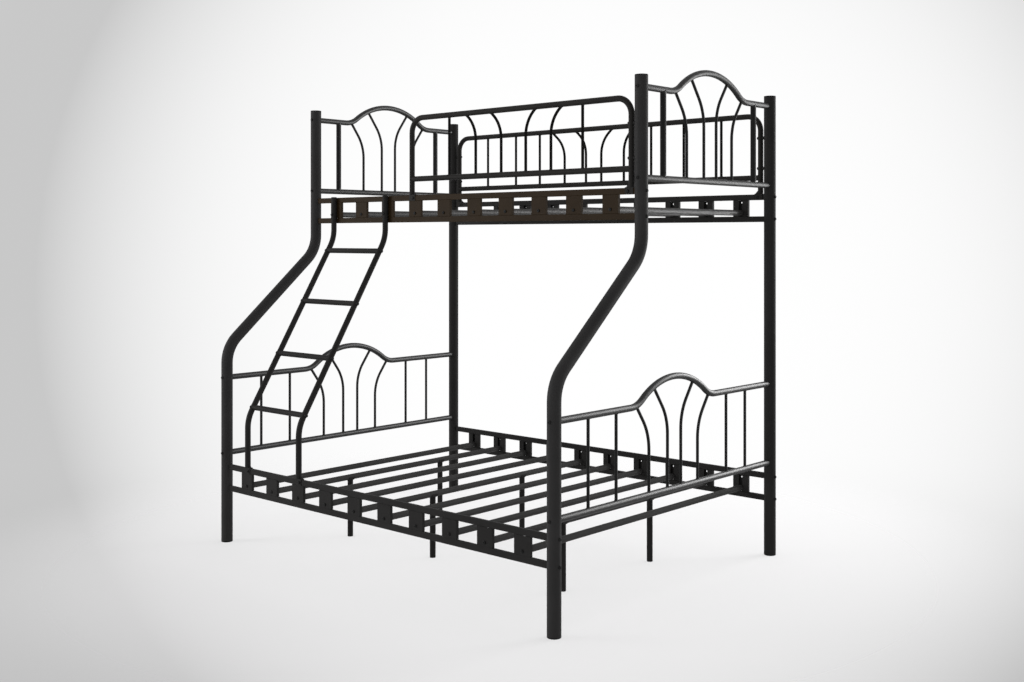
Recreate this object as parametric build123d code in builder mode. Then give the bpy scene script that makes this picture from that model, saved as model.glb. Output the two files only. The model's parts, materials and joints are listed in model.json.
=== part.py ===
from build123d import *
import os
from math import cos, radians, sin, sqrt, tan

os.makedirs("parts", exist_ok=True)

# A steel tube bunk bed: a narrow upper bed over a wide lower bed.
# X runs along the beds, Y from the ladder side to the back, Z up from the floor.
# The origin is on the floor, under the middle of the four feet.

# Whole bed
bed_height = 1990.0
post_span = 1940.0
lower_width = 1450.0
upper_width = 942.0
over = 2.0

# Posts
post_d = 50.8
post_wall = 1.5
post_knee_z = 878.0
post_lean = 49.0
post_bend_r = 152.0
foot_h = 5.0
cap_h = 4.0
cap_plug_h = 18.0
stopper_edge_share = 0.4

# Side rails: two flat-oval chords with ten C-shaped webs between them, open to the bed
rail_t = 12.7
rail_h = 121.0
chord_h = 25.0
chord_wall = 1.2
chord_corner_r = 2.5
lower_rail_z = 232.0
upper_rail_z = 1444.0
web_w = 76.0
web_wall = 1.5
web_slot_w = 18.0
slat_axis_h = 40.5
spare_hole_h = 86.5

# Slats
slat_count = 10
slat_pitch = 182.0
slat_row_shift = 8.5
slat_d = 25.4
slat_wall = 1.2

# Support legs under three of the lower slats
leg_slats = (2, 5, 9)
leg_row_span = 577.0
leg_d = 25.4
leg_wall = 1.2
leg_foot_h = 4.0
cradle_t = 2.5
cradle_l = 32.0
stud_past_wall = 6.0

# End panels
panel_tube_d = 25.4
panel_wall = 1.2
bar_d = 12.0
upright_d = 24.0
upright_wall = 1.2
lower_panel_z = 402.0
lower_panel_top_z = 743.0
upper_panel_z = 1602.0
upper_panel_top_z = 1945.0
arch_rise = 95.0
arch_crown_r = 355.0
arch_flank = 37.0
panel_bar_bend_r = 190.0
panel_bar_lean = 36.0

# Bars of the end panels: how far off the panel's middle, to the front and to the rear
inner_bar_feet = (47.0, 43.5)
inner_bar_tops = (140.0, 131.0)
outer_bar_feet = (169.0, 161.0)
outer_bar_tops = (251.0, 242.5)
near_bars = (373.5, 372.0)
far_bars = (537.5, 519.0)
uprights = (329.5, 333.0)

# Guard rails of the upper bed
guard_d = 24.0
guard_wall = 1.2
guard_top_z = 1907.5
guard_low_z = 1637.0
guard_corner_r = 65.0
guard_stand_off = 8.0
guard_bar_bend_r = 135.0
guard_bar_lean = 48.0
guard_bolt_zs = (1678.0, 1810.0)
front_guard_end_x = -288.5

# Bars of the guards: how far off the guard's middle, to the left and to the right
front_guard_inner_feet = (65.5, 71.0)
front_guard_inner_tops = (132.0, 132.0)
front_guard_outer_feet = (212.5, 206.0)
front_guard_outer_tops = (276.0, 270.0)
front_guard_straights = ((371.0, 369.0),)
rear_guard_inner_feet = (50.5, 44.5)
rear_guard_inner_tops = (120.5, 118.0)
rear_guard_outer_feet = (186.5, 181.0)
rear_guard_outer_tops = (270.5, 251.5)
rear_guard_straights = ((350.5, 340.5), (513.5, 523.5), (712.5, 724.5))

# Saddles that straddle a rail under the guard legs and the ladder
saddle_t = 2.5
saddle_l = 38.0
gusset_t = 4.0
gusset_h = 15.0

# Ladder
stile_d = 25.4
stile_wall = 1.2
stile_knee_z = 572.0
stile_lean = 31.4
stile_bend_r = 152.0
stile_cap_h = 2.5
ladder_slats = (1, 3)
rung_d = 24.0
rung_wall = 1.2
rung_count = 4
first_rung_z = 619.0
rung_pitch = 232.0

# Fasteners and plugs
bolt_d = 6.35
bolt_clearance = 0.6
head_d = 13.0
head_h = 4.5
socket_d = 5.0
socket_deep = 2.5
rung_head_d = 16.0
rung_head_h = 6.0
head_edge_share = 0.6
plug_l = 25.0
bolt_bite = 20.0
nut_d = 12.0
nut_h = 5.5
spacer_d = 14.0
guard_bolt_past_wall = 8.0

# Values that follow from the sizes above
post_r = post_d / 2
post_x = post_span / 2
wide_y = lower_width / 2
narrow_y = wide_y - upper_width
post_top_knee_z = post_knee_z + (lower_width - upper_width) / tan(radians(post_lean))
chord_zs = (chord_h / 2, rail_h - chord_h / 2)
bolt_r = bolt_d / 2
hole_r = bolt_r + bolt_clearance / 2
head_r = head_d / 2
rung_head_r = rung_head_d / 2
slat_r = slat_d / 2
leg_r = leg_d / 2
panel_r = panel_tube_d / 2
bar_r = bar_d / 2
upright_r = upright_d / 2
guard_r = guard_d / 2
stile_r = stile_d / 2
rung_r = rung_d / 2
web_h = rail_h - 2 * chord_h
flank = radians(arch_flank)
arch_foot_r = arch_rise / (1 - cos(flank)) - arch_crown_r
arch_half = (arch_crown_r + arch_foot_r) * sin(flank)
stile_top_y = narrow_y - rail_t / 2 - stile_r
stile_top_knee_z = stile_knee_z + (stile_top_y + wide_y) / tan(radians(stile_lean))
guard_leg_x = post_x - post_r - guard_stand_off - guard_r
sides = (-1, 1)


def slat_x(number):
    """The place along the bed of slat, web and bolt number 1 to 10."""
    return (number - (slat_count + 1) / 2) * slat_pitch + slat_row_shift


def section(radius, wall):
    """The section of a tube, or of a solid bar where the wall is zero."""
    Circle(radius)
    if wall:
        Circle(radius - wall, mode=Mode.SUBTRACT)


def straight(start, end, radius, wall=0):
    """A straight round tube or bar from one point to another."""
    axis = Vector(*end) - Vector(*start)
    with BuildPart() as made:
        with BuildSketch(Plane(origin=start, z_dir=axis)):
            section(radius, wall)
        extrude(amount=axis.length)
    return made.part


def bent(points, bend_r, radius, wall=0):
    """A round tube or bar along straight runs joined by bends."""
    with BuildPart() as made:
        with BuildLine() as route:
            FilletPolyline(*points, radius=bend_r)
        with BuildSketch(Plane(origin=route.line @ 0, z_dir=route.line % 0)):
            section(radius, wall)
        sweep()
    return made.part


def cut(body, *tools):
    """The body without the room that the tools take."""
    with BuildPart() as made:
        add(body)
        for tool in tools:
            add(tool, mode=Mode.SUBTRACT)
    return made.part


def chord_outline(y, z, inset, mode=Mode.ADD):
    """The outline of a side rail's chord, or of its bore inside the wall."""
    with Locations((y, z)):
        RectangleRounded(
            rail_t - 2 * inset, chord_h - 2 * inset, chord_corner_r - inset, mode=mode
        )


def bolt(seat, way, grip, head=(head_r, head_h), round_r=0):
    """A round-head bolt with a hexagon socket. The head sits at seat and the
    shank runs grip along way. On a round tube the head reaches down its curve."""
    radius, height = head
    along = Vector(*way)
    start = Vector(*seat)
    sag = round_r - sqrt(round_r**2 - radius**2) if round_r else 0
    across = along.cross(Vector(0, 0, 1))
    with BuildPart() as made:
        with BuildSketch(Plane(origin=start - along * height, z_dir=along)):
            Circle(radius)
        extrude(amount=height + sag)
        crown = made.faces().sort_by(Axis(start, along))[0]
        fillet(crown.edges(), height * head_edge_share)
        if round_r:
            centre = start + along * round_r
            post = Vector(0, 0, 1) * (radius + over)
            tool = straight(centre - post, centre + post, round_r)
            add(tool, mode=Mode.SUBTRACT)
        with BuildSketch(Plane(origin=start - along * height, x_dir=across, z_dir=along)):
            RegularPolygon(socket_d / 2, 6)
        extrude(amount=socket_deep, mode=Mode.SUBTRACT)
        with BuildSketch(Plane(origin=start - along * (height - socket_deep), z_dir=along)):
            Circle(bolt_r)
        extrude(amount=grip + height - socket_deep)
    return made.part


def plug(start, end, radius, *tools):
    """A round plug with a bolt's bore through it."""
    body = straight(start, end, radius)
    return cut(body, straight(start, end, bolt_r), *tools)


def write(name, *bodies):
    """Writes one node. Bodies that touch in it stay separate solids."""
    solids = [solid for body in bodies for solid in body.solids()]
    piece = solids[0] if len(solids) == 1 else Compound(solids)
    piece.label = name
    export_step(piece, f"parts/{name}.step")


def post_core(x, y, low, high, radius=post_r):
    """The room that an upright round tube takes between two heights."""
    return straight((x, y, low), (x, y, high), radius)


# Where each post carries its rails and panels: (y, z) of the bolt
def post_stations(front):
    """The (y, z) of the rail bolts and of the panel bolts on one post."""
    high_y = narrow_y if front else wide_y
    low_y = -wide_y if front else wide_y
    rails = [(low_y, lower_rail_z + z) for z in chord_zs]
    rails += [(high_y, upper_rail_z + z) for z in chord_zs]
    panels = [(low_y, lower_panel_z), (low_y, lower_panel_top_z)]
    panels += [(high_y, upper_panel_z), (high_y, upper_panel_top_z)]
    return rails, panels


# Posts
for side, hand in zip(sides, ("left", "right")):
    for front, place in ((True, "front"), (False, "rear")):
        x = side * post_x
        rails, panels = post_stations(front)
        tools = []
        for y, z in rails:
            far = post_r + over
            tools.append(straight((x - far, y, z), (x + far, y, z), hole_r))
        for y, z in panels:
            far = post_r + over
            tools.append(straight((x, y - far, z), (x, y + far, z), hole_r))
        if side > 0 or not front:
            for z in guard_bolt_zs:
                y = narrow_y if front else wide_y
                tools.append(straight((x, y, z), (x - side * (post_r + over), y, z), bolt_r))
        if front:
            points = (
                (x, -wide_y, foot_h),
                (x, -wide_y, post_knee_z),
                (x, narrow_y, post_top_knee_z),
                (x, narrow_y, bed_height - cap_h),
            )
            body = bent(points, post_bend_r, post_r, post_wall)
        else:
            top = (x, wide_y, bed_height - cap_h)
            body = straight((x, wide_y, foot_h), top, post_r, post_wall)
        write(f"{place}_post_{hand}", cut(body, *tools))


def stopper(x, y, z, way, radius, wall, thick):
    """A cap or foot that closes a tube's end at height z, its plug inside."""
    with BuildPart() as made:
        with BuildSketch(Plane.XY.offset(z)):
            with Locations((x, y)):
                Circle(radius)
        extrude(amount=way * thick)
        end_face = made.faces().sort_by(Axis.Z)[-1 if way > 0 else 0]
        fillet(end_face.edges(), thick * stopper_edge_share)
        with BuildSketch(Plane.XY.offset(z)):
            with Locations((x, y)):
                Circle(radius - wall)
        extrude(amount=-way * cap_plug_h)
    return made.part


top_caps = []
feet = []
for side in sides:
    x = side * post_x
    for low_y, high_y in ((-wide_y, narrow_y), (wide_y, wide_y)):
        top_caps.append(stopper(x, high_y, bed_height - cap_h, 1, post_r, post_wall, cap_h))
        feet.append(stopper(x, low_y, foot_h, -1, post_r, post_wall, foot_h))
write("post_top_caps", *top_caps)
write("post_feet", *feet)


def saddle_bolt_x(x, way):
    """Where the bolt through a saddle stands, beside the tube that it carries."""
    return x + way * (saddle_l - guard_r) / 2


# Side rails
rail_plugs = []
rail_sets = (
    ("lower_front_rail", -wide_y, -1, lower_rail_z, [(slat_x(n), 1) for n in ladder_slats]),
    ("lower_rear_rail", wide_y, 1, lower_rail_z, []),
    ("upper_front_rail", narrow_y, -1, upper_rail_z, [(front_guard_end_x, 1), (guard_leg_x, -1)]),
    ("upper_rear_rail", wide_y, 1, upper_rail_z, [(-guard_leg_x, 1), (guard_leg_x, -1)]),
)
for name, y, face, base, saddles in rail_sets:
    bodies = []
    for chord_z in chord_zs:
        z = base + chord_z
        ends = [post_core(s * post_x, y, z - chord_h, z + chord_h) for s in sides]
        drills = []
        if chord_z == chord_zs[1]:
            for x, way in saddles:
                at = saddle_bolt_x(x, way)
                drills.append(straight((at, y - rail_t, z), (at, y + rail_t, z), hole_r))
        with BuildPart() as chord:
            with BuildSketch(Plane.YZ):
                chord_outline(y, z, 0)
                chord_outline(y, z, chord_wall, Mode.SUBTRACT)
            extrude(amount=post_x, both=True)
            for tool in ends + drills:
                add(tool, mode=Mode.SUBTRACT)
        bodies.append(chord.part)
        for s in sides:
            outer = s * post_x
            inner = s * (post_x - post_r - plug_l)
            bore = straight((outer, y, z), (inner - s * over, y, z), bolt_r)
            with BuildPart() as end_plug:
                with BuildSketch(Plane.YZ.offset(min(outer, inner))):
                    chord_outline(y, z, chord_wall)
                extrude(amount=abs(outer - inner))
                for tool in (bore, *ends):
                    add(tool, mode=Mode.SUBTRACT)
            rail_plugs.append(end_plug.part)
    hole_zs = (slat_axis_h, spare_hole_h) if face > 0 else (slat_axis_h,)
    for n in range(1, slat_count + 1):
        x = slat_x(n)
        with BuildPart() as web:
            with BuildSketch(Plane.XY.offset(base + chord_h)):
                with Locations((x, y)):
                    Rectangle(web_w, rail_t)
                    Rectangle(
                        web_w - 2 * web_wall, rail_t - 2 * web_wall, mode=Mode.SUBTRACT
                    )
                with Locations((x, y - face * rail_t / 2)):
                    Rectangle(web_slot_w, rail_t, mode=Mode.SUBTRACT)
            extrude(amount=web_h)
            for hole_z in hole_zs:
                z = base + hole_z
                drill = straight((x, y - rail_t, z), (x, y + rail_t, z), hole_r)
                add(drill, mode=Mode.SUBTRACT)
        bodies.append(web.part)
    write(name, *bodies)
write("rail_end_plugs", *rail_plugs)

# Slats, their plugs and bolts
slat_plugs = []
slat_bolts = []
ladder_bolts = []
leg_ys = (-leg_row_span / 2, leg_row_span / 2)
for deck, base, front_y in (("upper", upper_rail_z, narrow_y), ("lower", lower_rail_z, -wide_y)):
    z = base + slat_axis_h
    front_end = front_y + rail_t / 2
    rear_end = wide_y - rail_t / 2
    for n in range(1, slat_count + 1):
        x = slat_x(n)
        body = straight((x, front_end, z), (x, rear_end, z), slat_r, slat_wall)
        if deck == "lower" and n in leg_slats:
            studs = [straight((x, y, z - slat_r - over), (x, y, z), bolt_r) for y in leg_ys]
            body = cut(body, *studs)
        write(f"{deck}_slat_{n:02d}", body)
        for end, way in ((front_end, 1), (rear_end, -1)):
            seat = (x, end - way * rail_t, z)
            inside = (x, end + way * plug_l, z)
            slat_plugs.append(plug((x, end, z), inside, slat_r - slat_wall))
            if deck == "upper" and way > 0 and n in ladder_slats:
                outside = (x, end - rail_t - stile_d, z)
                reach = stile_d + rail_t + bolt_bite
                ladder_bolts.append(bolt(outside, (0, 1, 0), reach, round_r=stile_r))
            else:
                slat_bolts.append(bolt(seat, (0, way, 0), rail_t + bolt_bite))
write("slat_end_plugs", *slat_plugs)
write("slat_bolts", *slat_bolts)
write("ladder_bolts", *ladder_bolts)

# Support legs: a tube with a cradle welded on top and a stud up into the slat
leg_feet = []
slat_z = lower_rail_z + slat_axis_h
for row, y in zip(("front", "rear"), leg_ys):
    for number, n in enumerate(leg_slats, 1):
        x = slat_x(n)
        near = (x, y - cradle_l, slat_z)
        far = (x, y + cradle_l, slat_z)
        cradle_room = straight(near, far, slat_r + cradle_t)
        stud_end = slat_z - slat_r + slat_wall + stud_past_wall
        stud = straight((x, y, slat_z - slat_d), (x, y, stud_end), bolt_r)
        with BuildPart() as cradle:
            with BuildSketch(Plane.XZ.offset(-y)):
                with Locations((x, slat_z)):
                    section(slat_r + cradle_t, cradle_t)
                with Locations((x, slat_z + slat_d)):
                    Rectangle(2 * slat_d, 2 * slat_d, mode=Mode.SUBTRACT)
            extrude(amount=cradle_l / 2, both=True)
            add(stud, mode=Mode.SUBTRACT)
        top = (x, y, slat_z - slat_r + cradle_t)
        tube = cut(straight((x, y, leg_foot_h), top, leg_r, leg_wall), cradle_room)
        with BuildPart() as anchor:
            add(straight((x, y, slat_z - slat_r - plug_l), top, leg_r - leg_wall))
            add(cradle_room, mode=Mode.SUBTRACT)
            add(stud)
        write(f"support_leg_{row}_{number}", tube, cradle.part, anchor.part)
        leg_feet.append(stopper(x, y, leg_foot_h, -1, leg_r, leg_wall, leg_foot_h))
write("support_leg_feet", *leg_feet)


def arch_z(offset):
    """Height of the arched tube's axis above its flat ends, off the middle."""
    reach = abs(offset)
    if reach <= arch_crown_r * sin(flank):
        return arch_rise - arch_crown_r + sqrt(arch_crown_r**2 - reach**2)
    if reach < arch_half:
        return arch_foot_r - sqrt(arch_foot_r**2 - (arch_half - reach) ** 2)
    return 0


def arched(plane, half_l, radius, wall=0):
    """A tube with flat ends and an arch in the middle, in the plane given."""
    with BuildPart() as made:
        with BuildLine(plane) as route:
            Line((-half_l, 0), (-arch_half, 0))
            rise = JernArc((-arch_half, 0), (1, 0), arch_foot_r, arch_flank)
            crown = JernArc(rise @ 1, rise % 1, arch_crown_r, -2 * arch_flank)
            fall = JernArc(crown @ 1, crown % 1, arch_foot_r, arch_flank)
            Line(fall @ 1, (half_l, 0))
        with BuildSketch(Plane(origin=plane.from_local_coords((-half_l, 0)), z_dir=plane.x_dir)):
            section(radius, wall)
        sweep()
    return made.part


def splayed_bar(plane, foot, top, bend_r, lean, tools):
    """A bar that stands upright and bends outward to its top, cut by what it
    meets. foot and top are points of the plane, on the axes of the two tubes."""
    turn = radians(lean)
    way = 1 if top[0] > foot[0] else -1
    side_run = abs(top[0] - foot[0]) - bend_r * (1 - cos(turn))
    bend_z = top[1] - bend_r * sin(turn) - side_run / tan(turn)
    with BuildPart() as made:
        with BuildLine(plane) as route:
            Line(foot, (foot[0], bend_z))
            turned = JernArc((foot[0], bend_z), (0, 1), bend_r, -way * lean)
            Line(turned @ 1, top)
        with BuildSketch(Plane(origin=plane.from_local_coords(foot), z_dir=plane.y_dir)):
            section(bar_r, 0)
        sweep()
        for tool in tools:
            add(tool, mode=Mode.SUBTRACT)
    return made.part


# End panels
panel_plugs = []
panel_sets = (
    ("lower", -wide_y, lower_panel_z, lower_panel_top_z, bar_r, 0, (near_bars, far_bars)),
    ("upper", narrow_y, upper_panel_z, upper_panel_top_z, upright_r, upright_wall, (uprights,)),
)
panel_splays = ((inner_bar_feet, inner_bar_tops), (outer_bar_feet, outer_bar_tops))
for deck, front_y, low_z, top_z, straight_r, straight_wall, pairs in panel_sets:
    mid_y = (front_y + wide_y) / 2
    half_l = wide_y - mid_y
    for side, hand in zip(sides, ("left", "right")):
        x = side * post_x
        flat = Plane(origin=(x, mid_y, 0), x_dir=(0, 1, 0), z_dir=(1, 0, 0))
        high = Plane(origin=(x, mid_y, top_z), x_dir=(0, 1, 0), z_dir=(1, 0, 0))
        reach = panel_r + over
        ends = [post_core(x, y, low_z - reach, top_z + reach) for y in (front_y, wide_y)]
        low_ends = ((x, front_y, low_z), (x, wide_y, low_z))
        low_room = straight(*low_ends, panel_r)
        top_room = arched(high, half_l, panel_r)
        bodies = [
            cut(arched(high, half_l, panel_r, panel_wall), *ends),
            cut(straight(*low_ends, panel_r, panel_wall), *ends),
        ]
        for pair in pairs:
            for s, offset in zip(sides, pair):
                y = mid_y + s * offset
                bar = straight((x, y, low_z), (x, y, top_z), straight_r, straight_wall)
                bodies.append(cut(bar, low_room, top_room))
        for bar_feet, bar_tops in panel_splays:
            for s, foot, top in zip(sides, bar_feet, bar_tops):
                start = (s * foot, low_z)
                end = (s * top, top_z + arch_z(top))
                rooms = (low_room, top_room)
                bodies.append(
                    splayed_bar(flat, start, end, panel_bar_bend_r, panel_bar_lean, rooms)
                )
        write(f"{deck}_end_panel_{hand}", *bodies)
        for z in (low_z, top_z):
            for y, way in ((front_y, 1), (wide_y, -1)):
                inside = (x, y + way * (post_r + plug_l), z)
                panel_plugs.append(plug((x, y, z), inside, panel_r - panel_wall, *ends))
write("panel_end_plugs", *panel_plugs)

# Bolts through the posts into the rails' and the panels' end plugs
post_bolts = []
for side in sides:
    x = side * post_x
    for front in (True, False):
        rails, panels = post_stations(front)
        grip = post_d + bolt_bite
        for y, z in rails:
            seat = (x + side * post_r, y, z)
            post_bolts.append(bolt(seat, (-side, 0, 0), grip, round_r=post_r))
        way = 1 if front else -1
        for y, z in panels:
            seat = (x, y - way * post_r, z)
            post_bolts.append(bolt(seat, (0, way, 0), grip, round_r=post_r))
write("post_bolts", *post_bolts)


# Saddles
saddle_bolts = []


def saddle(x, y, rail_top_z, tube_r, way):
    """A U-shaped saddle over a rail's top chord with a gusset beside the tube
    that stands on it. Way is the side of the tube on which it sticks out."""
    start = x - way * tube_r
    end = start + way * saddle_l
    low_x, high_x = min(start, end), max(start, end)
    half_t = rail_t / 2
    out = half_t + saddle_t
    base = rail_top_z + saddle_t
    z = rail_top_z - chord_h / 2
    at = saddle_bolt_x(x, way)
    hole = straight((at, y - rail_t, z), (at, y + rail_t, z), hole_r)
    with BuildPart() as strap:
        with BuildSketch(Plane.YZ.offset(low_x)):
            with BuildLine():
                Polyline(
                    (y - out, rail_top_z - chord_h),
                    (y - out, base),
                    (y + out, base),
                    (y + out, rail_top_z - chord_h),
                    (y + half_t, rail_top_z - chord_h),
                    (y + half_t, rail_top_z),
                    (y - half_t, rail_top_z),
                    (y - half_t, rail_top_z - chord_h),
                    close=True,
                )
            make_face()
        extrude(amount=high_x - low_x)
        add(hole, mode=Mode.SUBTRACT)
    with BuildPart() as gusset:
        with BuildSketch(Plane.XZ.offset(-y)):
            with BuildLine():
                Polyline(
                    (x, base),
                    (end, base),
                    (x + way * tube_r, base + gusset_h),
                    (x, base + gusset_h),
                    close=True,
                )
            make_face()
        extrude(amount=gusset_t / 2, both=True)
        add(straight((x, y, base), (x, y, base + 2 * gusset_h), tube_r), mode=Mode.SUBTRACT)
    saddle_bolts.append(bolt((at, y - out, z), (0, 1, 0), 2 * out + nut_h))
    with BuildPart() as nut:
        with BuildSketch(Plane(origin=(at, y + out, z), z_dir=(0, 1, 0))):
            RegularPolygon(nut_d / 2, 6)
            Circle(bolt_r, mode=Mode.SUBTRACT)
        extrude(amount=nut_h)
    saddle_bolts.append(nut.part)
    return strap.part, gusset.part


# Guard rails
guard_spacers = []
guard_bolts = []
upper_rail_top = upper_rail_z + rail_h
guard_sets = (
    (
        "front_guard_rail",
        narrow_y,
        front_guard_end_x,
        (
            (front_guard_inner_feet, front_guard_inner_tops),
            (front_guard_outer_feet, front_guard_outer_tops),
        ),
        front_guard_straights,
    ),
    (
        "rear_guard_rail",
        wide_y,
        -guard_leg_x,
        (
            (rear_guard_inner_feet, rear_guard_inner_tops),
            (rear_guard_outer_feet, rear_guard_outer_tops),
        ),
        rear_guard_straights,
    ),
)
for name, y, left_x, splays, straights in guard_sets:
    right_x = guard_leg_x
    mid_x = (left_x + right_x) / 2
    leg_z = upper_rail_top + saddle_t
    loop = (
        (left_x, y, leg_z),
        (left_x, y, guard_top_z),
        (right_x, y, guard_top_z),
        (right_x, y, leg_z),
    )
    bolted = [x for x in (left_x, right_x) if abs(x) == guard_leg_x]
    drills = []
    for x in bolted:
        for z in guard_bolt_zs:
            drills.append(straight((x - guard_d, y, z), (x + guard_d, y, z), hole_r))
    frame_room = bent(loop, guard_corner_r, guard_r)
    frame_tube = cut(bent(loop, guard_corner_r, guard_r, guard_wall), *drills)
    low_ends = ((left_x, y, guard_low_z), (right_x, y, guard_low_z))
    low_room = straight(*low_ends, guard_r)
    low_tube = cut(straight(*low_ends, guard_r, guard_wall), frame_room)
    bodies = [frame_tube, low_tube]
    flat = Plane(origin=(mid_x, y, 0), x_dir=(1, 0, 0), z_dir=(0, -1, 0))
    for pair in straights:
        for s, offset in zip(sides, pair):
            x = mid_x + s * offset
            bar = straight((x, y, guard_low_z), (x, y, guard_top_z), bar_r)
            bodies.append(cut(bar, low_room, frame_room))
    for bar_feet, bar_tops in splays:
        for s, foot, top in zip(sides, bar_feet, bar_tops):
            start = (s * foot, guard_low_z)
            end = (s * top, guard_top_z)
            rooms = (low_room, frame_room)
            bodies.append(
                splayed_bar(flat, start, end, guard_bar_bend_r, guard_bar_lean, rooms)
            )
    for x, way in ((left_x, 1), (right_x, -1)):
        bodies += saddle(x, y, upper_rail_top, guard_r, way)
    write(name, *bodies)
    for x in bolted:
        way = 1 if x > 0 else -1
        post_at = way * post_x
        for z in guard_bolt_zs:
            rooms = (
                post_core(post_at, y, z - spacer_d, z + spacer_d),
                post_core(x, y, z - spacer_d, z + spacer_d, guard_r),
                straight((x, y, z), (post_at, y, z), hole_r),
            )
            guard_spacers.append(cut(straight((x, y, z), (post_at, y, z), spacer_d / 2), *rooms))
            seat = (x - way * guard_r, y, z)
            grip = guard_d + guard_stand_off + post_wall + guard_bolt_past_wall
            guard_bolts.append(bolt(seat, (way, 0, 0), grip, round_r=guard_r))
write("guard_spacers", *guard_spacers)
write("guard_bolts", *guard_bolts)


def stile_y(z):
    """The place of the sloping part of the ladder at a height."""
    return -wide_y + (z - stile_knee_z) * tan(radians(stile_lean))


# Ladder
rung_zs = [first_rung_z + rung_pitch * n for n in range(rung_count)]
stile_xs = [slat_x(n) for n in ladder_slats]
stile_caps = []
stile_rooms = []
lower_rail_top = lower_rail_z + rail_h
ladder_bolt_z = upper_rail_z + slat_axis_h
for x, hand in zip(stile_xs, ("left", "right")):
    points = (
        (x, -wide_y, lower_rail_top + saddle_t),
        (x, -wide_y, stile_knee_z),
        (x, stile_top_y, stile_top_knee_z),
        (x, stile_top_y, upper_rail_top),
    )
    stile_rooms.append(bent(points, stile_bend_r, stile_r))
    tools = [
        straight((x - stile_d, stile_y(z), z), (x + stile_d, stile_y(z), z), hole_r)
        for z in rung_zs
    ]
    bolt_way = (
        (x, stile_top_y - stile_d, ladder_bolt_z),
        (x, stile_top_y + stile_r, ladder_bolt_z),
    )
    tools.append(straight(*bolt_way, hole_r))
    tube = cut(bent(points, stile_bend_r, stile_r, stile_wall), *tools)
    write(f"ladder_stile_{hand}", tube, *saddle(x, -wide_y, lower_rail_top, stile_r, 1))
    cap = stopper(x, stile_top_y, upper_rail_top, 1, stile_r, stile_wall, stile_cap_h)
    stile_caps.append(cap)
write("ladder_stile_caps", *stile_caps)
write("saddle_bolts", *saddle_bolts)

rung_bolts = []
stile_bite = stile_d + bolt_bite
for number, z in enumerate(rung_zs, 1):
    y = stile_y(z)
    left, right = ((x, y, z) for x in stile_xs)
    bodies = [cut(straight(left, right, rung_r, rung_wall), *stile_rooms)]
    for x, way, room in zip(stile_xs, (1, -1), stile_rooms):
        inside = (x + way * (stile_r + plug_l), y, z)
        bodies.append(plug((x, y, z), inside, rung_r - rung_wall, room))
        seat = (x - way * stile_r, y, z)
        screw = bolt(seat, (way, 0, 0), stile_bite, (rung_head_r, rung_head_h))
        rung_bolts.append(screw)
    write(f"ladder_rung_{number}", *bodies)
write("rung_bolts", *rung_bolts)
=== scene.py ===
"""The bunk bed's looks: coats for its solids, weld beads, a studio and a camera."""

import json
from math import asin, cos, pi, radians, sin, sqrt

import bmesh
import bpy
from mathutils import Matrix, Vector

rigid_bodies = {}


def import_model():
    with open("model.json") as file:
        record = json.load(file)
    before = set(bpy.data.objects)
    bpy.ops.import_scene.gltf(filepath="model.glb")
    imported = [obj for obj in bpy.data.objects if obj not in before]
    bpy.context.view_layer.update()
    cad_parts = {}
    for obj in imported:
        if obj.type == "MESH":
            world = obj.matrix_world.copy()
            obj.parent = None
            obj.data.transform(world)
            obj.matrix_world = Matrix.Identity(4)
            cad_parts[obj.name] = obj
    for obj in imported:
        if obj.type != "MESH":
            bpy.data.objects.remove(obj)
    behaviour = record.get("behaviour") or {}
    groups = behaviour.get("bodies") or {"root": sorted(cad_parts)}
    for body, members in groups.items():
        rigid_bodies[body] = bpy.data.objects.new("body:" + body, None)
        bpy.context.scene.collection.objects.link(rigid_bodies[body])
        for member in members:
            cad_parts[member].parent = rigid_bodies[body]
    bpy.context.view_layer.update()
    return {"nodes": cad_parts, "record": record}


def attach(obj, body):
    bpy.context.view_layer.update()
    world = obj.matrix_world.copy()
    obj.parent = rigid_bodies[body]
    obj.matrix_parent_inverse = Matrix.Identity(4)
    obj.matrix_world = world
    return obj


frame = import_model()
scene = bpy.context.scene

UP = Vector((0, 0, 1))
ALONG_X = Vector((1, 0, 0))
ALONG_Y = Vector((0, 1, 0))
SIDES = (-1, 1)
WHITE = (1, 1, 1, 1)

# The bed's own sizes, in metres: X runs along it, and Y from its front to its rear
POST_X = 0.970
WIDE_Y = 0.725
NARROW_Y = -0.217
UPPER_Y = (NARROW_Y + WIDE_Y) / 2
BAR_R = 0.006
UPRIGHT_R = 0.012

# End panels: each deck has the middle of its two panels and the heights of their tubes
DECKS = {"lower": (0.0, 0.402, 0.743), "upper": (UPPER_Y, 1.602, 1.945)}
PANEL_R = 0.0127
PANEL_BAR_REACH = 0.69
PANEL_LEAN = radians(36)
ARCH_RISE = 0.095
ARCH_CROWN_R = 0.355
ARCH_FLANK = radians(37)
ARCH_FOOT_R = ARCH_RISE / (1 - cos(ARCH_FLANK)) - ARCH_CROWN_R
ARCH_HALF = (ARCH_CROWN_R + ARCH_FOOT_R) * sin(ARCH_FLANK)

# Guard rails
GUARD_R = 0.012
GUARD_LOW = 1.637
GUARD_TOP = 1.9075
GUARD_LEG_X = 0.9246
FRONT_GUARD_LEFT_X = -0.2885
GUARD_CORNER = 0.15
GUARD_LEAN = radians(48)

# Side rails: their webs stand in a row whose middle is a little off the bed's
RAIL_T = 0.0127
LOWER_RAIL_Z = 0.232
UPPER_RAIL_Z = 1.444
WEB_COUNT = 10
WEB_PITCH = 0.182
WEB_ROW_SHIFT = 0.0085
SEAM_HEIGHTS = (0.025, 0.096)
SEAM_ASIDE = 0.026
SEAM_L = 0.014
SEAM_SUNK = 0.0004


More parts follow.
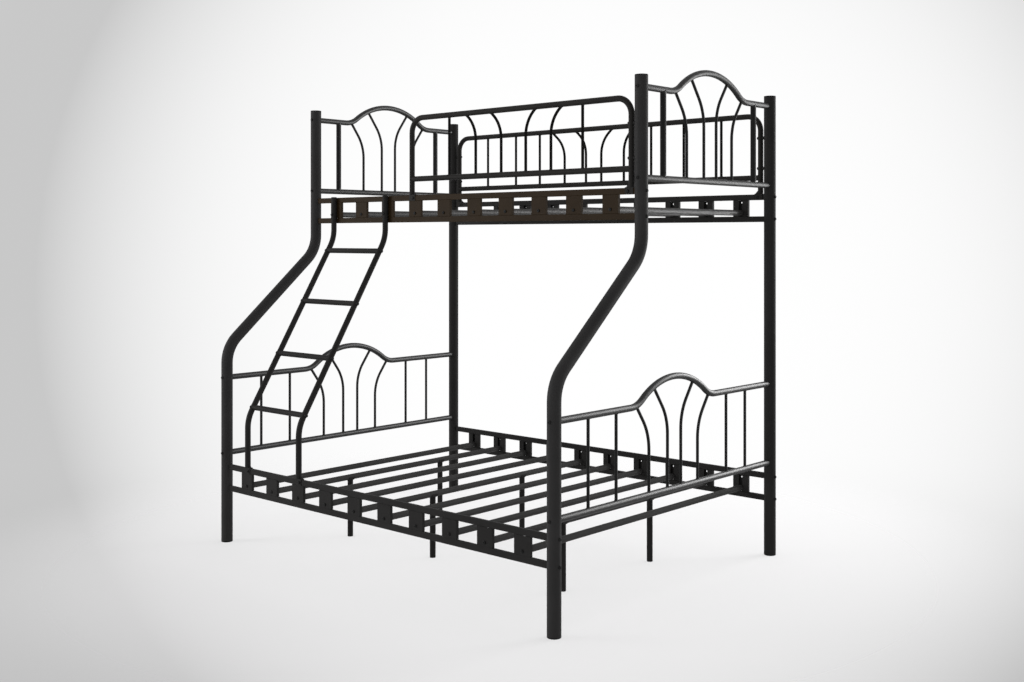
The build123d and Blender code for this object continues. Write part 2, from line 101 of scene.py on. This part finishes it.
def arch_z(offset):
    """How far the arched tube of a panel rises, at an offset from the panel's middle."""
    reach = abs(offset)
    if reach <= ARCH_CROWN_R * sin(ARCH_FLANK):
        return ARCH_RISE - ARCH_CROWN_R + sqrt(ARCH_CROWN_R**2 - reach**2)
    if reach < ARCH_HALF:
        return ARCH_FOOT_R - sqrt(ARCH_FOOT_R**2 - (ARCH_HALF - reach) ** 2)
    return 0.0


def arch_way(offset):
    """The way in which the crown of an arched tube runs at an offset."""
    turn = asin(offset / ARCH_CROWN_R)
    return Vector((0, cos(turn), -sin(turn)))


class Net:
    """The nodes of one material or of the world."""

    def __init__(self, tree):
        self.nodes = tree.nodes
        self.links = tree.links

    def add(self, kind, inputs=(), **settings):
        """A new node with its settings, and with a value or a link for each input named."""
        made = self.nodes.new(f"ShaderNode{kind}")
        for name, value in settings.items():
            setattr(made, name, value)
        for key, value in dict(inputs).items():
            if isinstance(value, bpy.types.NodeSocket):
                self.links.new(value, made.inputs[key])
            else:
                made.inputs[key].default_value = value
        return made

    def math(self, operation, *values):
        return self.add("Math", enumerate(values), operation=operation).outputs[0]

    def dot(self, first, second):
        made = self.add("VectorMath", {0: first, 1: second}, operation="DOT_PRODUCT")
        return made.outputs["Value"]

    def fade(self, value, start, end, low, high, kind="SMOOTHSTEP"):
        """From low to high, while the value goes from start to end."""
        inputs = {"Value": value, "From Min": start, "From Max": end, "To Min": low, "To Max": high}
        return self.add("MapRange", inputs, interpolation_type=kind).outputs["Result"]


# Coats
CLOUDS = {"Scale": 5.0, "Detail": 4.0, "Roughness": 0.6}
PATCHES = {"Scale": 38.0, "Detail": 5.0, "Roughness": 0.65}
PEEL = {"Scale": 620.0, "Detail": 2.0, "Roughness": 0.5}
TONE_STOPS = (0.3, 0.72)
PEEL_DEPTH = 0.0004
EDGE_R = 0.0006
EDGE_SAMPLES = 4

# Thin bars get painted shade, a colour darker than the tubes of their frame as they catch no sheen,
# and they are duller
BAR_PAINTED_SHADE = 0.25
BAR_DULLER = 0.25
BAR_BLUR = 0.004
ARCH_STEPS = 12


def arch_over(net, offset):
    """How far the arched tube rises, as a value for a material."""
    share = net.math("MINIMUM", net.math("DIVIDE", offset, ARCH_HALF), 1.0)
    curve = net.add("FloatCurve", {"Value": share})
    points = curve.mapping.curves[0].points
    points[0].location = (0, arch_z(0) / ARCH_RISE)
    points[1].location = (1, 0)
    for n in range(1, ARCH_STEPS):
        points.new(n / ARCH_STEPS, arch_z(ARCH_HALF * n / ARCH_STEPS) / ARCH_RISE)
    curve.mapping.update()
    return net.math("MULTIPLY", curve.outputs["Value"], ARCH_RISE)


def bars_in_frame(net, place, axis, middle, half, low, top, tube_r, arched):
    """1 on the bars inside a frame and 0 on its tubes: axis is X or Y, along the frame."""
    at = net.add("SeparateXYZ", {0: place}).outputs
    offset = net.math("ABSOLUTE", net.math("SUBTRACT", at[axis], middle))
    ceiling = net.math("ADD", arch_over(net, offset), top) if arched else top
    inside = 1.0
    for first, second, clear in (
        (at["Z"], low, tube_r),
        (ceiling, at["Z"], tube_r),
        (half, offset, 0.0),
    ):
        reach = net.math("SUBTRACT", first, second)
        part = net.fade(reach, clear, clear + BAR_BLUR, 0.0, 1.0)
        inside = net.math("MULTIPLY", inside, part)
    return inside


def coat(name, dark, light, rough=(0.5, 0.6), peel=0.2, specular=0.08, metal=0.0, bars=None):
    """A coat cloudy in tone and gloss, with an orange peel skin, and with painted shade darkening
    it on thin bars.
    """
    made = bpy.data.materials.new(name)
    made.use_nodes = True
    net = Net(made.node_tree)
    place = net.add("TexCoord").outputs["Object"]

    clouds = net.add("TexNoise", {"Vector": place, **CLOUDS}).outputs["Fac"]
    ramp = net.add("ValToRGB", {"Fac": clouds})
    for stop, position, paint in zip(ramp.color_ramp.elements, TONE_STOPS, (dark, light)):
        stop.position = position
        stop.color = (*paint, 1)
    colour = ramp.outputs["Color"]
    patches = net.add("TexNoise", {"Vector": place, **PATCHES}).outputs["Fac"]
    dull = net.fade(patches, 0.0, 1.0, *rough, kind="LINEAR")
    if bars:
        inside = bars_in_frame(net, place, *bars)
        # Painted shade: the colour is darkened on the bars, as they catch no sheen
        tone = net.fade(inside, 0.0, 1.0, 1.0, BAR_PAINTED_SHADE)
        painted_bar_shade = net.add("VectorMath", {0: colour, "Scale": tone}, operation="SCALE")
        colour = painted_bar_shade.outputs["Vector"]
        dull = net.math("ADD", dull, net.math("MULTIPLY", inside, BAR_DULLER))

    skin = net.add("TexNoise", {"Vector": place, **PEEL}).outputs["Fac"]
    edges = net.add("Bevel", {"Radius": EDGE_R}, samples=EDGE_SAMPLES).outputs["Normal"]
    bump = {"Strength": peel, "Distance": PEEL_DEPTH, "Height": skin, "Normal": edges}
    shader = net.nodes["Principled BSDF"].inputs
    net.links.new(net.add("Bump", bump).outputs["Normal"], shader["Normal"])
    net.links.new(colour, shader["Base Color"])
    net.links.new(dull, shader["Roughness"])
    shader["Specular IOR Level"].default_value = specular
    shader["Metallic"].default_value = metal
    return made


def guard_coat(place, left_x):
    middle = (GUARD_LEG_X + left_x) / 2
    half = (GUARD_LEG_X - left_x) / 2 - GUARD_CORNER
    return coat(
        f"guard_coat_{place}",
        dark=(0.0165, 0.0154, 0.0145),
        light=(0.0228, 0.0212, 0.0199),
        # painted shade on the guard's bars
        bars=("X", middle, half, GUARD_LOW, GUARD_TOP, GUARD_R, False),
    )


def panel_coat(deck):
    middle, low, top = DECKS[deck]
    return coat(
        f"panel_coat_{deck}",
        dark=(0.018, 0.0178, 0.0176),
        light=(0.025, 0.0247, 0.0245),
        rough=(0.44, 0.52),
        specular=0.2,
        # painted shade on the panel's bars
        bars=("Y", middle, PANEL_BAR_REACH, low, top, PANEL_R, True),
    )


black = coat("powder_coat_black", (0.0165, 0.0158, 0.0154), (0.0228, 0.0218, 0.0213))
# Painted warm light: a brownish tint on the upper front rail and its welds, standing in for warm
# light falling on them
painted_warm_light = coat("powder_coat_painted_warm_light", (0.0225, 0.0135, 0.006), (0.0315, 0.019, 0.0085))
# Painted light: the front posts are coloured lighter than the frame, standing in for light from the
# floor and the front
front_post_painted_light = coat("powder_coat_front_posts_painted_light", (0.028, 0.0272, 0.0273), (0.038, 0.037, 0.0372))
# The slats' satin coat is rougher, and its colour is lighter than the frame's as painted light,
# standing in for the light on the slats
satin_and_painted_light = coat(
    "powder_coat_satin_and_painted_light",
    dark=(0.037, 0.036, 0.0355),
    light=(0.051, 0.0498, 0.049),
    rough=(0.58, 0.68),
    specular=0.12,
)
bead = coat(
    "weld_bead_coat",
    dark=(0.015, 0.015, 0.015),
    light=(0.023, 0.022, 0.0215),
    rough=(0.5, 0.65),
    peel=0.8,
)
fastener = coat(
    "fastener_black",
    dark=(0.009, 0.009, 0.009),
    light=(0.015, 0.015, 0.015),
    rough=(0.4, 0.5),
    peel=0.15,
    specular=0.12,
)
stopper = coat(
    "stopper_plastic",
    dark=(0.007, 0.007, 0.007),
    light=(0.012, 0.012, 0.012),
    rough=(0.45, 0.6),
    peel=0.5,
)
steel = coat(
    "plug_steel",
    dark=(0.25, 0.25, 0.25),
    light=(0.4, 0.4, 0.4),
    rough=(0.3, 0.45),
    specular=0.5,
    metal=1.0,
)
BY_SLOT = {
    "powder_coat": black,
    "fastener": fastener,
    "stopper": stopper,
    "steel_plug": steel,
    "nylon_plug": stopper,
}
BY_NAME = {
    # painted light: the front posts coloured lighter
    "front_post": front_post_painted_light,
    "lower_end_panel": panel_coat("lower"),
    "upper_end_panel": panel_coat("upper"),
    "front_guard_rail": guard_coat("front", FRONT_GUARD_LEFT_X),
    "rear_guard_rail": guard_coat("rear", -GUARD_LEG_X),
    # painted warm light on the upper front rail
    "upper_front_rail": painted_warm_light,
    # painted light: both decks' slats coloured lighter
    "lower_slat_": satin_and_painted_light,
    "upper_slat_": satin_and_painted_light,
}
slot_of = {row["node"]: row["material_slot"] for row in frame["record"]["subparts"]}
for name, piece in frame["nodes"].items():
    chosen = BY_SLOT[slot_of[name]]
    for start, special in BY_NAME.items():
        if name.startswith(start):
            chosen = special
    piece.data.materials.clear()
    piece.data.materials.append(chosen)


# Welds
BEAD_SIDES = 6
RING_R, RING_STEPS = 0.0016, 28
RING_RIPPLE, RING_RATE = 0.16, 2.4
RING_SWAY, SWAY_RATE, SWAY_SHIFT = 0.08, 0.9, 50
RUN_R, RUN_STEPS = 0.0013, 14
RUN_RIPPLE, RUN_RATE = 0.14, 2.6
RUN_END_SHARE = 0.25


def bead_row(mesh, centre, across, other, r):
    """The points round a bead, at one place along it."""
    turns = [2 * pi * m / BEAD_SIDES for m in range(BEAD_SIDES)]
    return [
        mesh.verts.new(centre + across * r * cos(turn) + other * r * sin(turn)) for turn in turns
    ]


def join_rows(mesh, row, after):
    for m in range(BEAD_SIDES):
        beside = (m + 1) % BEAD_SIDES
        mesh.faces.new((row[m], row[beside], after[beside], after[m]))


def ring_points(foot, way, tube_way, r, tube_r):
    """Where a round bar leaves a round tube: foot is where their axes meet."""
    side = way.cross(tube_way).normalized()
    other = side.cross(way).normalized()
    found = []
    for n in range(RING_STEPS):
        turn = 2 * pi * n / RING_STEPS
        start = (side * cos(turn) + other * sin(turn)) * r
        flat_start = start - tube_way * start.dot(tube_way)
        flat_way = way - tube_way * way.dot(tube_way)
        a = flat_way.dot(flat_way)
        b = flat_start.dot(flat_way)
        c = flat_start.dot(flat_start) - tube_r**2
        reach = (-b + sqrt(max(b * b - a * c, 0))) / a
        found.append((foot + start + way * reach, start.normalized()))
    return found


def weld_ring(mesh, foot, way, tube_way, r, tube_r):
    """A bead of weld round the foot of a bar, with the ripples of its making."""
    rows = []
    for n, (point, outward) in enumerate(ring_points(foot, way, tube_way, r, tube_r)):
        sway = RING_SWAY * sin(n * SWAY_RATE + foot.y * SWAY_SHIFT)
        swell = RING_R * (1 + RING_RIPPLE * sin(n * RING_RATE) + sway)
        rows.append(bead_row(mesh, point, outward, way, swell))
    for row, after in zip(rows, rows[1:] + rows[:1]):
        join_rows(mesh, row, after)


def weld_run(mesh, start, end):
    """A short straight bead with rounded ends."""
    way = end - start
    side = way.normalized().cross(UP).normalized()
    rows = []
    for n in range(RUN_STEPS):
        share = n / (RUN_STEPS - 1)
        fullness = sqrt(max(1 - (2 * share - 1) ** 4, 0))
        swell = RUN_R * (RUN_END_SHARE + (1 - RUN_END_SHARE) * fullness)
        swell *= 1 + RUN_RIPPLE * sin(n * RUN_RATE)
        rows.append(bead_row(mesh, start + way * share, side, UP, swell))
    for row, after in zip(rows, rows[1:]):
        join_rows(mesh, row, after)
    mesh.faces.new(rows[0][::-1])
    mesh.faces.new(rows[-1])


def finish_piece(mesh, name, material):
    bmesh.ops.recalc_face_normals(mesh, faces=mesh.faces)
    data = bpy.data.meshes.new(name)
    mesh.to_mesh(data)
    mesh.free()
    data.shade_smooth()
    data.materials.append(material)
    piece = bpy.data.objects.new(name, data)
    scene.collection.objects.link(piece)
    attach(piece, "root")


# Each pair is how far a bar and its twin stand from the middle, to the -Y and the +Y side
PANEL_STRAIGHTS = {
    "lower": (BAR_R, ((0.3735, 0.372), (0.5375, 0.519))),
    "upper": (UPRIGHT_R, ((0.3295, 0.333),)),
}
# A splayed bar has a pair for its foot and one for its top
PANEL_SPLAYS = (((0.047, 0.0435), (0.140, 0.131)), ((0.169, 0.161), (0.251, 0.2425)))
for deck, (mid_y, low_z, top_z) in DECKS.items():
    straight_r, straights = PANEL_STRAIGHTS[deck]
    for side, hand in zip(SIDES, ("left", "right")):
        beads = bmesh.new()
        x = side * POST_X
        for pair in straights:
            for s, y in zip(SIDES, pair):
                foot = Vector((x, mid_y + s * y, low_z))
                head = Vector((x, mid_y + s * y, top_z))
                weld_ring(beads, foot, UP, ALONG_Y, straight_r, PANEL_R)
                weld_ring(beads, head, -UP, ALONG_Y, straight_r, PANEL_R)
        for feet, tops in PANEL_SPLAYS:
            for s, foot_y, top_y in zip(SIDES, feet, tops):
                foot = Vector((x, mid_y + s * foot_y, low_z))
                head = Vector((x, mid_y + s * top_y, top_z + arch_z(top_y)))
                down = Vector((0, -s * sin(PANEL_LEAN), -cos(PANEL_LEAN)))
                weld_ring(beads, foot, UP, ALONG_Y, BAR_R, PANEL_R)
                weld_ring(beads, head, down, arch_way(s * top_y), BAR_R, PANEL_R)
        finish_piece(beads, f"{deck}_end_panel_{hand}_welds", bead)

# A guard's place, Y, left end, splayed bars and straight bars
GUARDS = (
    (
        "front",
        NARROW_Y,
        FRONT_GUARD_LEFT_X,
        (((0.0655, 0.071), (0.132, 0.132)), ((0.2125, 0.206), (0.276, 0.270))),
        ((0.371, 0.369),),
    ),
    (
        "rear",
        WIDE_Y,
        -GUARD_LEG_X,
        (((0.0505, 0.0445), (0.1205, 0.118)), ((0.1865, 0.181), (0.2705, 0.2515))),
        ((0.3505, 0.3405), (0.5135, 0.5235), (0.7125, 0.7245)),
    ),
)
for place, y, left_x, splays, straights in GUARDS:
    beads = bmesh.new()
    mid_x = (left_x + GUARD_LEG_X) / 2
    weld_ring(beads, Vector((left_x, y, GUARD_LOW)), ALONG_X, UP, GUARD_R, GUARD_R)
    weld_ring(beads, Vector((GUARD_LEG_X, y, GUARD_LOW)), -ALONG_X, UP, GUARD_R, GUARD_R)
    for pair in straights:
        for s, offset in zip(SIDES, pair):
            x = mid_x + s * offset
            weld_ring(beads, Vector((x, y, GUARD_LOW)), UP, ALONG_X, BAR_R, GUARD_R)
            weld_ring(beads, Vector((x, y, GUARD_TOP)), -UP, ALONG_X, BAR_R, GUARD_R)
    for feet, tops in splays:
        for s, foot_x, top_x in zip(SIDES, feet, tops):
            foot = Vector((mid_x + s * foot_x, y, GUARD_LOW))
            head = Vector((mid_x + s * top_x, y, GUARD_TOP))
            down = Vector((-s * sin(GUARD_LEAN), 0, -cos(GUARD_LEAN)))
            weld_ring(beads, foot, UP, ALONG_X, BAR_R, GUARD_R)
            weld_ring(beads, head, down, ALONG_X, BAR_R, GUARD_R)
    finish_piece(beads, f"{place}_guard_welds", bead)

# A rail's place, Y, the side that its webs' seams face, its foot and its coat
RAILS = (
    ("lower_front", -WIDE_Y, -1, LOWER_RAIL_Z, bead),
    ("lower_rear", WIDE_Y, 1, LOWER_RAIL_Z, bead),
    # painted warm light on the upper front rail's welds
    ("upper_front", NARROW_Y, -1, UPPER_RAIL_Z, painted_warm_light),
    ("upper_rear", WIDE_Y, 1, UPPER_RAIL_Z, bead),
)
for place, y, face, base, material in RAILS:
    beads = bmesh.new()
    seam_y = y + face * (RAIL_T / 2 - SEAM_SUNK)
    for n in range(WEB_COUNT):
        mid_x = (n - (WEB_COUNT - 1) / 2) * WEB_PITCH + WEB_ROW_SHIFT
        for height in SEAM_HEIGHTS:
            for s in SIDES:
                left_x = mid_x + s * SEAM_ASIDE - SEAM_L / 2
                near = Vector((left_x, seam_y, base + height))
                weld_run(beads, near, near + ALONG_X * SEAM_L)
    finish_piece(beads, f"{place}_rail_welds", material)

# Studio
VIEW_TURN = radians(42.225)
ACROSS = Vector((cos(VIEW_TURN), sin(VIEW_TURN), 0))
FORWARD = Vector((-sin(VIEW_TURN), cos(VIEW_TURN), 0))
BRIGHT_SPOT = (FORWARD + ACROSS * 0.07 - UP * 0.038).normalized()
LIT_SIDE = (FORWARD + UP * 0.4).normalized()
PAPER_LOSS, LOSS_POWER, MOST_LOSS = 23.0, 2.4, 0.42
FLOOR_REACH = 30.0
FLOOR_GLOW = 0.36
FLOOR_COLOUR = (0.9, 0.885, 0.9, 1)
BOUNCE_COLOUR = (0.75, 0.75, 0.75, 1)

# Fades: from where to where, and the value at each end
LOSS_ASIDE = (0.22, 0.5, 1.0, 0.15)
PAPER_FOOT = (0.17, 0.33, 1.0, 0.82)
FILL_AHEAD = (-0.6, 1.0, 0.45, 0.75)
FILL_ABOVE = (0.2, 0.9, 1.0, 0.4)
FLOOR_SHARE = (1.3, 2.6, 0.45, 0.0)


def by_ray(net, output, seen, lighting):
    """One shader for the rays that show the background, and one for those that light the bed."""
    rays = net.add("LightPath").outputs
    shows = net.math("MAXIMUM", rays["Is Camera Ray"], rays["Is Glossy Ray"])
    shows = net.math("MAXIMUM", shows, rays["Is Transmission Ray"])
    pick = net.add("MixShader", {"Fac": shows, 1: lighting.outputs[0], 2: seen.outputs[0]})
    net.add(output, {"Surface": pick.outputs[0]})


# World: white paper that darkens a little towards the corners and the foot of the picture
world = bpy.data.worlds.new("studio")
scene.world = world
world.use_nodes = True
net = Net(world.node_tree)
net.nodes.clear()
way = net.add("TexCoord").outputs["Generated"]
ahead = net.math("MAXIMUM", net.dot(way, BRIGHT_SPOT), 0.0)
aside = net.math("SUBTRACT", 1.0, net.math("POWER", ahead, 2.0))
loss = net.math("MULTIPLY", net.math("POWER", aside, LOSS_POWER), PAPER_LOSS)
loss = net.math("MINIMUM", loss, MOST_LOSS)
loss = net.math("MULTIPLY", loss, net.fade(aside, *LOSS_ASIDE))
rest = net.math("SUBTRACT", 1.0, loss)
foot = net.fade(net.dot(way, -UP), *PAPER_FOOT)
tone = net.math("MULTIPLY", rest, foot)
paper = net.add("Background", {"Color": WHITE, "Strength": tone})
level = net.fade(net.dot(way, LIT_SIDE), *FILL_AHEAD)
above = net.fade(net.dot(way, UP), *FILL_ABOVE)
strength = net.math("MULTIPLY", level, above)
fill = net.add("Background", {"Color": WHITE, "Strength": strength})
by_ray(net, "OutputWorld", paper, fill)

# Floor: pale, with the bed's shadow, and gone into the paper further out
floor_data = bpy.data.meshes.new("floor")
floor_corners = [
    (x * FLOOR_REACH, y * FLOOR_REACH, 0) for x, y in ((-1, -1), (1, -1), (1, 1), (-1, 1))
]
floor_data.from_pydata(floor_corners, [], [(0, 1, 2, 3)])
floor = bpy.data.objects.new("floor", floor_data)
scene.collection.objects.link(floor)
pale = bpy.data.materials.new("pale_floor")
pale.use_nodes = True
net = Net(pale.node_tree)
net.nodes.clear()
spot = net.add("NewGeometry").outputs["Position"]
distance = net.add("VectorMath", {0: spot}, operation="LENGTH").outputs["Value"]
share = net.fade(distance, *FLOOR_SHARE)
shade = net.add("BsdfDiffuse", {"Color": FLOOR_COLOUR})
glow = net.add("Emission", {"Strength": FLOOR_GLOW})
shaded = net.add("AddShader", {0: shade.outputs[0], 1: glow.outputs[0]})
clear = net.add("BsdfTransparent")
seen = net.add("MixShader", {"Fac": share, 1: clear.outputs[0], 2: shaded.outputs[0]})
bounce = net.add("BsdfDiffuse", {"Color": BOUNCE_COLOUR})
by_ray(net, "OutputMaterial", seen, bounce)
floor_data.materials.append(pale)

# Lamps
LAMP_SIZE = 2.6


def lamp(name, place, aim, power, size=LAMP_SIZE):
    data = bpy.data.lights.new(name, "AREA")
    data.shape = "SQUARE"
    data.size = size
    data.energy = power
    made = bpy.data.objects.new(name, data)
    made.location = place
    made.rotation_euler = (Vector(aim) - Vector(place)).to_track_quat("-Z", "Y").to_euler()
    made.visible_camera = False
    scene.collection.objects.link(made)
    return made


def gloss_lamp(start, name, place, aim, power):
    """A lamp seen only as a sheen, on the pieces whose names have this start."""
    made = lamp(name, place, aim, power)
    made.visible_diffuse = False
    chosen = bpy.data.collections.new(f"{name}_receivers")
    for piece in scene.objects:
        if piece.name.startswith(start):
            chosen.objects.link(piece)
    made.light_linking.receiver_collection = chosen


lamp("top", (0.4, 0.6, 5.0), (0, 0, 0.5), power=35, size=4.0).visible_glossy = False
lamp("front_left", (-4.6, -5.0, 1.9), (0, 0, 1.0), power=140)
lamp("front_low", (3.0, -4.2, 0.7), (0.4, 0, 0.2), power=22, size=1.6)
lamp("behind_right", (2.4, 4.3, 1.9), (0, 0, 1.0), power=110)
for start, name, place, aim, power in (
    ("lower_end_panel", "lower_sheen", (2.7, 4.1, 2.2), (0, 0, 0.6), 420),
    ("upper_end_panel_left", "upper_left_sheen", (2.4, 4.3, 1.5), (0, 0, 1.8), 470),
    ("upper_end_panel_right", "upper_right_sheen", (3.2, 4.0, 1.0), (0, 0, 1.8), 190),
    ("upper_slat", "slat_sheen", (1.8, 4.3, 0.9), (0, 0, 1.45), 1000),
):
    gloss_lamp(start, name, place, aim, power)

# Camera
view = bpy.data.cameras.new("camera")
view.sensor_width = 36.0
view.lens = 42.05
view.shift_y = -0.1016
camera = bpy.data.objects.new("camera", view)
camera.location = (3.6304, -3.8720, 1.3788)
camera.rotation_euler = (radians(90), 0, VIEW_TURN)
scene.collection.objects.link(camera)
bpy.context.scene.camera = camera
bpy.context.scene.view_settings.view_transform = "Standard"
